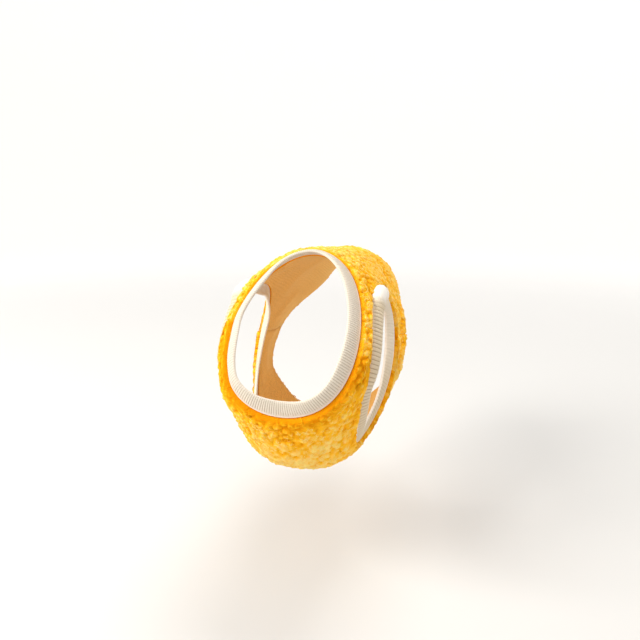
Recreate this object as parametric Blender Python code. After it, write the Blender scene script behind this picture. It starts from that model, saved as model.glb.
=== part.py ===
"""Sleeveless fleece vest for a small dog, in the hollow pose that it keeps when it is worn.

Units are metres, +Z up. The origin lies on the inner face of the back, over the withers.
-Y points to the chest, +Y to the tail, and +X to the wearer's left.

The body is a loft through slanted rings, from the neckline (0) to the rearmost hem (1).
A place on it is given by how far along it lies and by its angle from the spine, positive
towards the wearer's left. Every piece is a wall worked out from points of that loft.
"""
import math
from collections import namedtuple

import bmesh
import bpy
import numpy as np

COLLECTION = "fleece_dog_vest"

# Walls
FLEECE_WALL = 0.0050        # boa fleece, pile included
SEWN_EDGE_WALL = 0.0036     # the same, pinched where it is sewn to rib knit
SIDE_SEAM_WALL = 0.0044     # the same, pinched at a side or shoulder seam
EDGE_ROUNDING = 0.006       # distance from a sewn edge at which the fleece is full again
RIB_WALL = 0.0022           # rib knit, folded double
SEAM_GAP = 0.0003

# The body's rings. top and low are the spine and belly points of a ring, egg makes its upper
# half wider, square fills its flanks at 45 degrees, and bow pushes its flanks along Y, the
# lower half more.
Section = namedtuple("Section", "at top_y top_z low_y low_z half_width egg square bow")
SECTIONS = (
    Section(0.00, -0.0200, 0.0020, -0.0935, -0.0820, 0.0385, -0.050, 0.02, -0.0115),
    Section(0.12, -0.0135, 0.0025, -0.0895, -0.0900, 0.0470, -0.055, 0.03, -0.0070),
    Section(0.24, 0.0000, 0.0000, -0.0745, -0.1155, 0.0530, 0.020, 0.05, 0.0025),
    Section(0.42, 0.0210, -0.0015, -0.0455, -0.1305, 0.0500, 0.020, 0.06, 0.0000),
    Section(0.60, 0.0535, -0.0045, -0.0090, -0.1235, 0.0470, -0.060, 0.06, -0.0020),
    Section(0.80, 0.1010, -0.0085, 0.0335, -0.1070, 0.0425, -0.070, 0.05, -0.0025),
    Section(1.00, 0.1590, -0.0215, 0.0685, -0.0940, 0.0345, -0.060, 0.05, -0.0025),
)
BOW_SKEW = 0.6
AROUND = 0.062              # cloth to a radian of girth, on average

# Armhole: an oval on the loft
ARM_AT = 0.305
ARM_SPAN = 0.238            # half its length, along the loft
ARM_ANGLE = math.radians(85.5)
ARM_UP = math.radians(37.5)
ARM_DOWN = math.radians(55.5)
ARM_ROUNDNESS = 0.95        # below 1 it is fuller at its ends
ARM_FRONT_TOP = 0.75        # the same, for the front half of its top
ARM_FRONT = ARM_AT - ARM_SPAN
ARM_REAR = ARM_AT + ARM_SPAN

# Hem: long over the back, longest at its rear corners, cut forward under the belly
HEM_BACK = 0.95             # where it crosses the spine
HEM_CORNER = 0.99
HEM_BELLY = 0.68
CORNER_AT = math.radians(70)
CUT_FROM = math.radians(56)
CUT_TO = math.radians(120)
SIDE_SEAM_SLANT = math.radians(12)

# The hem stands off the wearer under both flanks
FLARE = 0.0045
FLARE_LENGTH = 0.17         # along the loft
FLARE_FROM = math.radians(72)
FLARE_TO = math.radians(142)
FLARE_FADE = math.radians(26)

# The turned hem's wall, by distance from its edge; the low row is the line of stitching
HemRow = namedtuple("HemRow", "from_edge wall")
HEM_ROWS = (
    HemRow(0.0150, FLEECE_WALL),
    HemRow(0.0120, 0.0041),
    HemRow(0.0095, 0.0060),
    HemRow(0.0060, 0.0064),
    HemRow(0.0025, 0.0059),
    HemRow(0.0000, 0.0036),
)

# The largest folds: from one place to another, in degrees of girth; a depth below 0 is a
# trough. Each side has its own, much alike.
Fold = namedtuple("Fold", "at girth to_at to_girth depth width")
FOLDS = (
    Fold(0.10, -35, 0.13, 30, -0.0016, 0.007),      # slump behind the nape
    Fold(0.17, -28, 0.19, 34, 0.0012, 0.008),
    Fold(0.74, -52, 0.66, 20, -0.0016, 0.010),      # across the loins
    Fold(0.86, 44, 0.80, -18, -0.0012, 0.009),
    Fold(0.60, 62, 0.72, 28, -0.0015, 0.008),       # from the back of the left armhole
    Fold(0.60, -60, 0.70, -24, -0.0014, 0.009),
    Fold(0.58, 100, 0.66, 126, -0.0013, 0.006),     # under the left flank
    Fold(0.57, -98, 0.65, -130, -0.0014, 0.006),
    Fold(0.10, 118, 0.22, 158, -0.0015, 0.008),     # chest, from the left armhole
    Fold(0.08, -112, 0.24, -152, -0.0020, 0.008),
    Fold(0.03, -88, 0.05, -126, -0.0018, 0.007),    # dent beside the right shoulder
    Fold(0.36, -168, 0.30, 166, -0.0014, 0.010),    # across the lower chest
)

# Rib-knit bands, by the angle round their opening: width across, how far they turn out of
# the cloth's own direction, how much more they do so at the root than at the free edge, and
# a share of the ribs' full height
Lay = namedtuple("Lay", "angle width lean puff rib")
NECK_LAY = (
    Lay(0, 0.0100, 22, 12, 1),
    Lay(60, 0.0100, 10, 12, 1),
    Lay(120, 0.0100, -6, 10, 1),
    Lay(180, 0.0105, -14, 8, 1),
    Lay(240, 0.0100, -6, 10, 1),
    Lay(300, 0.0100, 10, 12, 1),
)
# 0 is the armhole's front, 90 its top, 180 its rear and 270 its lowest end. The band puffs out
# in a plain roll at the front of the top.
ARM_LAY = (
    Lay(0, 0.0090, 4, 14, 1),
    Lay(14, 0.0100, 4, 35, 0.9),
    Lay(32, 0.0145, 18, 84, 0.3),
    Lay(52, 0.0150, 16, 88, 0.1),
    Lay(74, 0.0112, -12, 60, 0.3),
    Lay(108, 0.0095, -30, 34, 0.5),
    Lay(180, 0.0085, -40, 14, 0.5),
    Lay(225, 0.0080, -32, 10, 0.8),
    Lay(270, 0.0080, -12, 10, 1),
    Lay(315, 0.0085, 16, 8, 1),
)
ARM_RIBS = 112
NECK_RIBS = 204
RIB_HEIGHT = 0.0005
NECK_RIB_HEIGHT = 0.0004
BAND_SET = 0.0018           # middle of a band's root, above the fleece's inner face

# A band's cross-section, from its root round its free edge and back: how far across it the
# point lies, on which face (1 outside, -1 inside), and its share of a rib's height
Corner = namedtuple("Corner", "across face rib")
BAND_SECTION = (
    Corner(0.00, 1.0, 0.0),
    Corner(0.20, 1.0, 1.0),
    Corner(0.58, 1.0, 1.0),
    Corner(0.94, 0.75, 0.6),
    Corner(1.00, -0.35, 0.0),
    Corner(0.55, -1.0, 0.0),
    Corner(0.00, -1.0, 0.0),
)
NECK_SECTION = BAND_SECTION[:5] + BAND_SECTION[6:]      # it bends less across

# Panel grids
ROWS_AT_NECK = (0.0, 0.35, 0.7)     # as shares of the way to the armhole
ARM_ROWS = 20
ROWS_TO_HEM = 7
# Columns of points from a panel's middle to its edge, as shares of the way
BACK_COLUMNS = (0.0, 0.11, 0.22, 0.33, 0.44, 0.55, 0.65, 0.75, 0.84, 0.92, 0.97, 1.0)
CHEST_COLUMNS = (0.0, 0.11, 0.22, 0.33, 0.43, 0.53, 0.63, 0.73, 0.82, 0.90, 0.96, 1.0)

Finish = namedtuple("Finish", "colour roughness")
YELLOW_FLEECE = Finish((0.94, 0.47, 0.06), 0.95)
CREAM_RIB = Finish((0.78, 0.68, 0.52), 0.85)


def column(name):
    return np.array([getattr(section, name) for section in SECTIONS])


def smooth_step(value):
    value = np.clip(value, 0, 1)
    return value * value * (3 - 2 * value)


def through_rows(values, at):
    """Smooth curve through a column of SECTIONS."""
    places = column("at")
    slopes = np.gradient(values, places)
    row = np.clip(np.searchsorted(places, at, side="right") - 1, 0, len(places) - 2)
    gap = places[row + 1] - places[row]
    t = (at - places[row]) / gap
    start = (2 * t**3 - 3 * t**2 + 1) * values[row] + (t**3 - 2 * t**2 + t) * gap * slopes[row]
    end = (3 * t**2 - 2 * t**3) * values[row + 1] + (t**3 - t**2) * gap * slopes[row + 1]
    return start + end


def loft(at, angle):
    """Points of the body's smooth inner face."""
    at, angle = np.broadcast_arrays(np.asarray(at, float), np.asarray(angle, float))
    ring = {name: through_rows(column(name), at) for name in Section._fields[1:]}
    upward, sideways = np.cos(angle), np.sin(angle)
    fill = 1 + ring["egg"] * upward + ring["square"] * upward**2
    x = ring["half_width"] * sideways * fill
    y = (ring["top_y"] + ring["low_y"]) / 2 + (ring["top_y"] - ring["low_y"]) / 2 * upward
    z = (ring["top_z"] + ring["low_z"]) / 2 + (ring["top_z"] - ring["low_z"]) / 2 * upward
    y = y + ring["bow"] * sideways**2 * (1 - BOW_SKEW * upward)
    return np.stack([x, y, z], axis=-1)


def unit(vectors):
    return vectors / np.linalg.norm(vectors, axis=-1, keepdims=True)


def outward(at, angle):
    """Unit normals of the loft, away from the wearer."""
    step = 1e-4
    along = loft(np.asarray(at) + step, angle) - loft(np.asarray(at) - step, angle)
    around = loft(at, np.asarray(angle) + step) - loft(at, np.asarray(angle) - step)
    return unit(np.cross(around, along))


def stretch(at, angle):
    """Cloth that a step along the loft takes there, for each unit of `at`."""
    step = 1e-3
    gone = loft(np.asarray(at) + step, angle) - loft(np.asarray(at) - step, angle)
    return np.linalg.norm(gone, axis=-1) / (2 * step)


def hem_at(angle):
    """Where the hem lies along the loft, by the angle from the spine."""
    from_spine = np.arccos(np.cos(angle))
    corner = smooth_step(from_spine / CORNER_AT)
    cut = smooth_step((from_spine - CUT_FROM) / (CUT_TO - CUT_FROM))
    return HEM_BACK + (HEM_CORNER - HEM_BACK) * corner + (HEM_BELLY - HEM_CORNER) * cut


def flare(at, angle):
    """How far the cloth stands off the loft towards the hem, under the flanks."""
    from_spine = np.arccos(np.cos(angle))
    near_hem = smooth_step((at - hem_at(angle)) / FLARE_LENGTH + 1)
    under = smooth_step((from_spine - FLARE_FROM) / FLARE_FADE)
    return FLARE * near_hem * under * smooth_step((FLARE_TO - from_spine) / FLARE_FADE)


def shorter_way(turn):
    """The same turn as an angle between -180 and 180 degrees."""
    return (turn + math.pi) % (2 * math.pi) - math.pi


def relief(at, angle):
    """How far the flare and the largest folds lift the cloth off the loft."""
    lift = flare(at, angle)
    for fold in FOLDS:
        turn = shorter_way(np.asarray(angle) - math.radians(fold.girth))
        span = shorter_way(math.radians(fold.to_girth - fold.girth))
        middle = math.radians(fold.girth) + span / 2
        along = float(stretch((fold.at + fold.to_at) / 2, middle))
        x, y = turn * AROUND, (at - fold.at) * along
        run_x, run_y = span * AROUND, (fold.to_at - fold.at) * along
        length = math.hypot(run_x, run_y)
        share = (x * run_x + y * run_y) / length**2
        aside = (x * run_y - y * run_x) / length
        beyond = np.abs(share - 0.5) * 2
        lift = lift + fold.depth * np.exp(-(aside / fold.width)**2 - beyond**4)
    return lift


def inner_face(at, angle):
    return loft(at, angle) + relief(at, angle)[..., None] * outward(at, angle)


def arm_reach(at, upper):
    """How wide the armhole's upper or lower half is at a place along the loft, 0 to 1."""
    cosine = np.clip((ARM_AT - np.asarray(at)) / ARM_SPAN, -1, 1)
    power = np.where(np.logical_and(upper, cosine > 0), ARM_FRONT_TOP, ARM_ROUNDNESS)
    return np.sqrt(1 - cosine**2)**power


def panel_rows():
    """Each row's nominal place, with its share of the way to the hem or distance from it."""
    rows = [(ARM_FRONT * share, None, None) for share in ROWS_AT_NECK]
    for turn in np.linspace(0, math.pi, ARM_ROWS + 1):
        rows.append((ARM_AT - ARM_SPAN * math.cos(turn), None, None))
    for step in range(1, ROWS_TO_HEM + 1):
        share = step / (ROWS_TO_HEM + 1)
        rows.append((ARM_REAR + (1 - ARM_REAR) * share, share, None))
    for hem_row in HEM_ROWS:
        rows.append((1, None, hem_row))
    return rows


def row_places(row, angle):
    """Where a row's points lie along the loft."""
    place, share, hem_row = row
    full = hem_at(angle)
    if hem_row is not None:
        return full - hem_row.from_edge / stretch(full, angle)
    if share is not None:
        return ARM_REAR + (full - HEM_ROWS[0].from_edge / stretch(full, angle) - ARM_REAR) * share
    return np.full_like(angle, place)


def seam_angle(row):
    """Shoulder seam before the armhole, side seam behind it."""
    end = ARM_ANGLE + SIDE_SEAM_SLANT
    share = (row_places(row, end) - ARM_REAR) / (hem_at(end) - ARM_REAR)
    return ARM_ANGLE + SIDE_SEAM_SLANT * max(float(share), 0)


def row_walls(row, places, angles, edge_distance):
    """The fleece's thickness along a row."""
    if row[2] is not None:
        walls = np.full_like(places, row[2].wall)
        walls[edge_distance < 1e-6] = min(row[2].wall, SIDE_SEAM_WALL)
        return walls
    inside_armhole = ARM_FRONT < row[0] < ARM_REAR
    pinched = SEWN_EDGE_WALL if inside_armhole else SIDE_SEAM_WALL
    beside_edge = smooth_step(edge_distance / EDGE_ROUNDING)
    walls = pinched + (FLEECE_WALL - pinched) * beside_edge
    beside_neck = smooth_step(places * stretch(places, angles) / EDGE_ROUNDING)
    return np.minimum(walls, SEWN_EDGE_WALL + (FLEECE_WALL - SEWN_EDGE_WALL) * beside_neck)


def panel_points(middle, direction, reach, columns):
    """Inner and outer points of a panel whose edges lie at middle +- (seam angle + reach)."""
    shares = np.array([-share for share in reversed(columns[1:])] + list(columns))
    inner, outer = [], []
    for row in panel_rows():
        edge = seam_angle(row) + direction * reach * arm_reach(row[0], direction < 0)
        half = abs(edge - middle) - SEAM_GAP / 2 / AROUND
        angles = middle + half * shares
        places = row_places(row, angles)
        distance = half * (1 - np.abs(shares)) * AROUND
        walls = row_walls(row, places, angles, distance)
        points = inner_face(places, angles)
        inner.append(points)
        outer.append(points + walls[:, None] * outward(places, angles))
    return np.array(inner), np.array(outer)


def solid_object(name, points, faces, finish):
    """One closed solid from points and faces, with its own material."""
    mesh = bpy.data.meshes.new(name)
    mesh.from_pydata([tuple(point) for point in points], [], faces)
    shell = bmesh.new()
    shell.from_mesh(mesh)
    bmesh.ops.recalc_face_normals(shell, faces=shell.faces)
    shell.to_mesh(mesh)
    shell.free()
    mesh.shade_smooth()
    mesh.set_sharp_from_angle(angle=math.radians(50))
    piece = bpy.data.objects.new(name, mesh)
    bpy.data.collections[COLLECTION].objects.link(piece)
    material = bpy.data.materials.new(name)
    material.use_nodes = True
    shader = material.node_tree.nodes["Principled BSDF"]
    shader.inputs["Base Color"].default_value = (*finish.colour, 1)
    shader.inputs["Roughness"].default_value = finish.roughness
    shader.inputs["Metallic"].default_value = 0
    mesh.materials.append(material)
    return piece


def sheet_wall(name, inner, outer):
    """A wall between two grids of points that match one to one, closed round its border."""
    rows, columns = inner.shape[:2]
    inside = np.arange(rows * columns).reshape(rows, columns)
    outside = inside + rows * columns
    faces = []
    for r in range(rows - 1):
        for c in range(columns - 1):
            for side in (inside, outside):
                faces.append((side[r, c], side[r, c + 1], side[r + 1, c + 1], side[r + 1, c]))
    border = [(0, c) for c in range(columns - 1)]
    border += [(r, columns - 1) for r in range(rows - 1)]
    border += [(rows - 1, c) for c in range(columns - 1, 0, -1)]
    border += [(r, 0) for r in range(rows - 1, 0, -1)]
    for here, there in zip(border, border[1:] + border[:1]):
        faces.append((inside[here], inside[there], outside[there], outside[here]))
    points = np.concatenate([inner.reshape(-1, 3), outer.reshape(-1, 3)])
    return solid_object(name, points, [tuple(map(int, face)) for face in faces],
                        YELLOW_FLEECE)


def lay_values(table, angles):
    """A band's table round its opening, smooth between the table's rows."""
    turns = np.array([row.angle for row in table])
    turns = np.concatenate([turns - 360, turns, turns + 360])
    at = np.degrees(angles) % 360
    row = np.searchsorted(turns, at, side="right") - 1
    share = smooth_step((at - turns[row]) / (turns[row + 1] - turns[row]))
    values = []
    for name in ("width", "lean", "puff", "rib"):
        column_values = np.array([getattr(line, name) for line in table] * 3, float)
        values.append(column_values[row] + (column_values[row + 1] - column_values[row]) * share)
    width, lean, puff, rib = values
    return width, np.radians(lean), np.radians(puff), rib


def ring_band(name, root, into, out, lay, section, rib_height):
    """A ribbed band round an opening, from the line of its root towards `into` and `out`."""
    width, lean, puff, rib = lay
    stations = len(root)
    crest = np.arange(stations) % 2 * rib
    lines = []
    for corner in section:
        heading = lean + puff * (1 - 2 * np.linspace(0, corner.across, 9)[:, None])
        centre = root + (width * corner.across * np.cos(heading).mean(axis=0))[:, None] * into
        centre = centre + (width * corner.across * np.sin(heading).mean(axis=0))[:, None] * out
        turned = heading[-1] if corner.across > 0 else np.zeros(stations)
        face = np.cos(turned)[:, None] * out - np.sin(turned)[:, None] * into
        offset = corner.face * RIB_WALL / 2 + corner.rib * rib_height * crest
        lines.append(centre + offset[:, None] * face)
    points = np.stack(lines, axis=1)
    corners = len(section)
    index = np.arange(stations * corners).reshape(stations, corners)
    faces = []
    for station in range(stations):
        following = (station + 1) % stations
        for corner in range(corners):
            beside = (corner + 1) % corners
            faces.append((index[station, corner], index[station, beside],
                          index[following, beside], index[following, corner]))
    faces = [tuple(map(int, face)) for face in faces]
    return solid_object(name, points.reshape(-1, 3), faces, CREAM_RIB)


def evenly_round(curve, count):
    """Parameters that divide a closed curve of 0 to 2 pi into steps of equal length."""
    fine = np.linspace(0, 2 * math.pi, 1441)
    points = curve(fine)
    lengths = np.concatenate([[0], np.cumsum(np.linalg.norm(np.diff(points, axis=0), axis=1))])
    return np.interp(np.arange(count) / count * lengths[-1], lengths, fine)


def arm_edge(turn):
    """Place and angle of the left armhole's edge."""
    at = ARM_AT - ARM_SPAN * np.cos(turn)
    upper = np.sin(turn) > 0
    angle = ARM_ANGLE - np.where(upper, ARM_UP, -ARM_DOWN) * arm_reach(at, upper)
    return at, angle


def arm_band(name, side):
    """The band of one armhole; side is 1 on the wearer's left and -1 on the right."""
    def edge(turn):
        at, angle = arm_edge(turn)
        return inner_face(at, side * angle)

    turns = evenly_round(edge, 2 * ARM_RIBS)
    at, angle = arm_edge(turns)
    out = outward(at, side * angle)
    step = 1e-3
    along_edge = edge(turns + step) - edge(turns - step)
    into = side * unit(np.cross(along_edge, out))
    root = edge(turns) + BAND_SET * out + SEAM_GAP * into
    lay = lay_values(ARM_LAY, turns)
    return ring_band(name, root, into, out, lay, BAND_SECTION, RIB_HEIGHT)


def neck_band():
    def edge(angle):
        return inner_face(np.zeros_like(angle), angle)

    angles = evenly_round(edge, 2 * NECK_RIBS)
    out = outward(np.zeros_like(angles), angles)
    around = edge(angles + 1e-3) - edge(angles - 1e-3)
    into = unit(np.cross(around, out))
    root = edge(angles) + BAND_SET * out + SEAM_GAP * into
    lay = lay_values(NECK_LAY, angles)
    return ring_band("neckband", root, into, out, lay, NECK_SECTION, NECK_RIB_HEIGHT)


def back_panel():
    inner, outer = panel_points(0.0, -1, ARM_UP, BACK_COLUMNS)
    return sheet_wall("back_panel", inner, outer)


def chest_panel():
    inner, outer = panel_points(math.pi, 1, ARM_DOWN, CHEST_COLUMNS)
    return sheet_wall("chest_panel", inner, outer)


def clear_scene():
    for thing in list(bpy.data.objects):
        bpy.data.objects.remove(thing, do_unlink=True)


def main():
    clear_scene()
    collection = bpy.data.collections.new(COLLECTION)
    bpy.context.scene.collection.children.link(collection)
    back_panel()
    chest_panel()
    neck_band()
    arm_band("arm_band_left", 1)
    arm_band("arm_band_right", -1)


main()
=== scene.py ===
"""Looks of the sleeveless fleece vest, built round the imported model.

Everything is in metres, in the model's own frame: the origin is on the inner face of the back
over the withers, -Y is the chest, +Y the tail, +X the wearer's left and +Z up.

The body is the same loft as in the part's source. Each fleece panel is a closed sheet: a curly
outer face, which is a fine grid raised into clumps, and a plain knitted backing inside. Locks
of curled yarn lie on the clumps. Each band is a closed ribbed strip that runs round its opening.
"""
import math
from collections import namedtuple

import bpy
import numpy as np
from mathutils import Matrix, Vector, kdtree


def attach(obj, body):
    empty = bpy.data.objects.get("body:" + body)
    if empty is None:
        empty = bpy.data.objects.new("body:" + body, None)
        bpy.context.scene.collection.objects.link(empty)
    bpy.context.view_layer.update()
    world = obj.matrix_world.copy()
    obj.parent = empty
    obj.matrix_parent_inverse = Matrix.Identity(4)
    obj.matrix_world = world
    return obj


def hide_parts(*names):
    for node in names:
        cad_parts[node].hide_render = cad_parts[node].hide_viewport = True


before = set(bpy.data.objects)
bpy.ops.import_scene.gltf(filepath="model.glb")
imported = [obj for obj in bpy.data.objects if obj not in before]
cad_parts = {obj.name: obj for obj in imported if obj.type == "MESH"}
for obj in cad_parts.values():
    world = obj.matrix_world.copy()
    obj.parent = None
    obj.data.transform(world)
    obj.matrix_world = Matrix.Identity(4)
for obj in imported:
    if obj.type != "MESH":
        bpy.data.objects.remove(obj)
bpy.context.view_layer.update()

# ------------------------------------------------------------------ the body's loft
# The rings, armholes, hem and largest folds repeat the part's own tables.
Section = namedtuple("Section", "at top_y top_z low_y low_z half_width egg square bow")
SECTIONS = (
    Section(0.00, -0.0200, 0.0020, -0.0935, -0.0820, 0.0385, -0.050, 0.02, -0.0115),
    Section(0.12, -0.0135, 0.0025, -0.0895, -0.0900, 0.0470, -0.055, 0.03, -0.0070),
    Section(0.24, 0.0000, 0.0000, -0.0745, -0.1155, 0.0530, 0.020, 0.05, 0.0025),
    Section(0.42, 0.0210, -0.0015, -0.0455, -0.1305, 0.0500, 0.020, 0.06, 0.0000),
    Section(0.60, 0.0535, -0.0045, -0.0090, -0.1235, 0.0470, -0.060, 0.06, -0.0020),
    Section(0.80, 0.1010, -0.0085, 0.0335, -0.1070, 0.0425, -0.070, 0.05, -0.0025),
    Section(1.00, 0.1590, -0.0215, 0.0685, -0.0940, 0.0345, -0.060, 0.05, -0.0025),
)
BOW_SKEW = 0.6              # how much more the lower half of a ring bows than the upper
AROUND = 0.062              # cloth to a radian of girth, on average

# The armhole: its middle and half its length along the loft, the angle of its middle from the
# spine, and how far it reaches up and down from there
ARM_AT = 0.305
ARM_SPAN = 0.238
ARM_ANGLE = math.radians(85.5)
ARM_UP = math.radians(37.5)
ARM_DOWN = math.radians(55.5)
ARM_ROUNDNESS = 0.95        # power of its outline: 1 is an ellipse, less is fuller
ARM_FRONT_TOP = 0.75        # the same, for the front half of its top
ARM_FRONT = ARM_AT - ARM_SPAN
ARM_REAR = ARM_AT + ARM_SPAN

# The hem's places along the loft: on the spine, at the corners of the back and under the belly
HEM_BACK = 0.95
HEM_CORNER = 0.99
HEM_BELLY = 0.68
CORNER_AT = math.radians(70)
CUT_FROM = math.radians(56)     # between these angles the hem is cut short for the belly
CUT_TO = math.radians(120)
SIDE_SEAM_SLANT = math.radians(12)

# The flare: how far the hem stands off the loft, over which share of the loft, and at which angles
FLARE = 0.0045
FLARE_LENGTH = 0.17
FLARE_FROM = math.radians(72)
FLARE_TO = math.radians(142)
FLARE_FADE = math.radians(26)

# Folds and creases run from one place to another, in degrees of girth; a depth below 0 is a
# trough. The largest twelve come from the part's source.
Fold = namedtuple("Fold", "at girth to_at to_girth depth width")
FOLDS = (
    Fold(0.10, -35, 0.13, 30, -0.0016, 0.007),      # slump behind the nape
    Fold(0.17, -28, 0.19, 34, 0.0012, 0.008),
    Fold(0.74, -52, 0.66, 20, -0.0016, 0.010),      # across the loins
    Fold(0.86, 44, 0.80, -18, -0.0012, 0.009),
    Fold(0.60, 62, 0.72, 28, -0.0015, 0.008),       # from the back of the left armhole
    Fold(0.60, -60, 0.70, -24, -0.0014, 0.009),
    Fold(0.58, 100, 0.66, 126, -0.0013, 0.006),     # under the left flank
    Fold(0.57, -98, 0.65, -130, -0.0014, 0.006),
    Fold(0.10, 118, 0.22, 158, -0.0015, 0.008),     # chest, from the left armhole
    Fold(0.08, -112, 0.24, -152, -0.0020, 0.008),
    Fold(0.03, -88, 0.05, -126, -0.0018, 0.007),    # dent beside the right shoulder
    Fold(0.36, -168, 0.30, 166, -0.0014, 0.010),    # across the lower chest
)
CREASES = (
    Fold(0.02, 22, 0.15, 46, -0.0009, 0.0040),      # shoulders, from the neckband
    Fold(0.03, -30, 0.14, -50, -0.0010, 0.0045),
    Fold(0.26, 40, 0.36, 18, -0.0008, 0.0050),      # above the armholes
    Fold(0.30, -42, 0.42, -22, -0.0009, 0.0045),
    Fold(0.46, 50, 0.52, 26, -0.0008, 0.0040),
    Fold(0.44, -48, 0.50, -30, -0.0007, 0.0040),
    Fold(0.62, 84, 0.78, 66, -0.0010, 0.0050),      # flanks
    Fold(0.61, -82, 0.80, -70, -0.0011, 0.0050),
    Fold(0.16, 134, 0.30, 142, -0.0009, 0.0045),    # chest, beside the armholes
    Fold(0.18, -134, 0.28, -146, -0.0008, 0.0045),
    Fold(0.44, 150, 0.50, -176, -0.0010, 0.0055),   # belly
    Fold(0.52, -152, 0.58, 176, -0.0008, 0.0050),
    Fold(0.90, -30, 0.84, 6, 0.0008, 0.0060),       # rump
)


def column(name):
    return np.array([getattr(section, name) for section in SECTIONS])


def smooth_step(value):
    """0 below 0, 1 above 1, and an S-shaped rise between."""
    value = np.clip(value, 0, 1)
    return value * value * (3 - 2 * value)


def through_rows(values, at):
    """Smooth curve through a column of SECTIONS."""
    places = column("at")
    slopes = np.gradient(values, places)
    row = np.clip(np.searchsorted(places, at, side="right") - 1, 0, len(places) - 2)
    gap = places[row + 1] - places[row]
    t = (at - places[row]) / gap
    start = (2 * t**3 - 3 * t**2 + 1) * values[row] + (t**3 - 2 * t**2 + t) * gap * slopes[row]
    end = (3 * t**2 - 2 * t**3) * values[row + 1] + (t**3 - t**2) * gap * slopes[row + 1]
    return start + end


def loft(at, angle):
    """Points of the body's smooth inner face."""
    at, angle = np.broadcast_arrays(np.asarray(at, float), np.asarray(angle, float))
    ring = {name: through_rows(column(name), at) for name in Section._fields[1:]}
    upward, sideways = np.cos(angle), np.sin(angle)
    fill = 1 + ring["egg"] * upward + ring["square"] * upward**2
    x = ring["half_width"] * sideways * fill
    y = (ring["top_y"] + ring["low_y"]) / 2 + (ring["top_y"] - ring["low_y"]) / 2 * upward
    z = (ring["top_z"] + ring["low_z"]) / 2 + (ring["top_z"] - ring["low_z"]) / 2 * upward
    y = y + ring["bow"] * sideways**2 * (1 - BOW_SKEW * upward)
    return np.stack([x, y, z], axis=-1)


def unit(vectors):
    return vectors / np.maximum(np.linalg.norm(vectors, axis=-1, keepdims=True), 1e-12)


def outward(at, angle):
    """Unit normals of the loft, away from the wearer."""
    step = 1e-4
    along = loft(np.asarray(at) + step, angle) - loft(np.asarray(at) - step, angle)
    around = loft(at, np.asarray(angle) + step) - loft(at, np.asarray(angle) - step)
    return unit(np.cross(around, along))


def stretch(at, angle):
    """Cloth that a step along the loft takes there, for each unit of `at`."""
    step = 1e-3
    gone = loft(np.asarray(at) + step, angle) - loft(np.asarray(at) - step, angle)
    return np.linalg.norm(gone, axis=-1) / (2 * step)


def hem_at(angle):
    """Where the hem lies along the loft at an angle."""
    from_spine = np.arccos(np.cos(angle))
    corner = smooth_step(from_spine / CORNER_AT)
    cut = smooth_step((from_spine - CUT_FROM) / (CUT_TO - CUT_FROM))
    return HEM_BACK + (HEM_CORNER - HEM_BACK) * corner + (HEM_BELLY - HEM_CORNER) * cut


def flare(at, angle):
    """How far the cloth stands off the loft towards the hem, under the flanks."""
    from_spine = np.arccos(np.cos(angle))
    near_hem = smooth_step((at - hem_at(angle)) / FLARE_LENGTH + 1)
    under = smooth_step((from_spine - FLARE_FROM) / FLARE_FADE)
    return FLARE * near_hem * under * smooth_step((FLARE_TO - from_spine) / FLARE_FADE)


def shorter_way(turn):
    """The same turn as an angle between -180 and 180 degrees."""
    return (turn + math.pi) % (2 * math.pi) - math.pi


def fold_lift(at, angle, folds):
    """How far a table of folds lifts the cloth."""
    lift = np.zeros(np.broadcast(at, angle).shape)
    for fold in folds:
        turn = shorter_way(np.asarray(angle) - math.radians(fold.girth))
        span = shorter_way(math.radians(fold.to_girth - fold.girth))
        middle = math.radians(fold.girth) + span / 2
        along = float(stretch((fold.at + fold.to_at) / 2, middle))
        x, y = turn * AROUND, (at - fold.at) * along
        run_x, run_y = span * AROUND, (fold.to_at - fold.at) * along
        length = math.hypot(run_x, run_y)
        share = (x * run_x + y * run_y) / length**2
        aside = (x * run_y - y * run_x) / length
        beyond = np.abs(share - 0.5) * 2
        lift = lift + fold.depth * np.exp(-(aside / fold.width)**2 - beyond**4)
    return lift


def inner_face(at, angle):
    """The cloth's inner face with its largest folds, as in the part's source."""
    lift = flare(at, angle) + fold_lift(at, angle, FOLDS)
    return loft(at, angle) + lift[..., None] * outward(at, angle)


def arm_reach(at, upper):
    """How wide the armhole's upper or lower half is at a place along the loft, 0 to 1."""
    cosine = np.clip((ARM_AT - np.asarray(at)) / ARM_SPAN, -1, 1)
    power = np.where(np.logical_and(upper, cosine > 0), ARM_FRONT_TOP, ARM_ROUNDNESS)
    return np.sqrt(1 - cosine**2)**power


def arm_edge(turn):
    """Place and angle of the left armhole's edge; turn 0 is its front, a quarter its top."""
    at = ARM_AT - ARM_SPAN * np.cos(turn)
    upper = np.sin(turn) > 0
    angle = ARM_ANGLE - np.where(upper, ARM_UP, -ARM_DOWN) * arm_reach(at, upper)
    return at, angle


# ------------------------------------------------------------------ mesh helpers
def grid_faces(rows, columns, start=0):
    index = start + np.arange(rows * columns).reshape(rows, columns)
    return np.stack([index[:-1, :-1], index[:-1, 1:], index[1:, 1:], index[1:, :-1]],
                    axis=-1).reshape(-1, 4)


def border_loop(rows, columns, start=0):
    """Vertex numbers once round the border of a grid."""
    index = start + np.arange(rows * columns).reshape(rows, columns)
    return np.concatenate([index[0, :-1], index[:-1, -1], index[-1, :0:-1], index[:0:-1, 0]])


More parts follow.
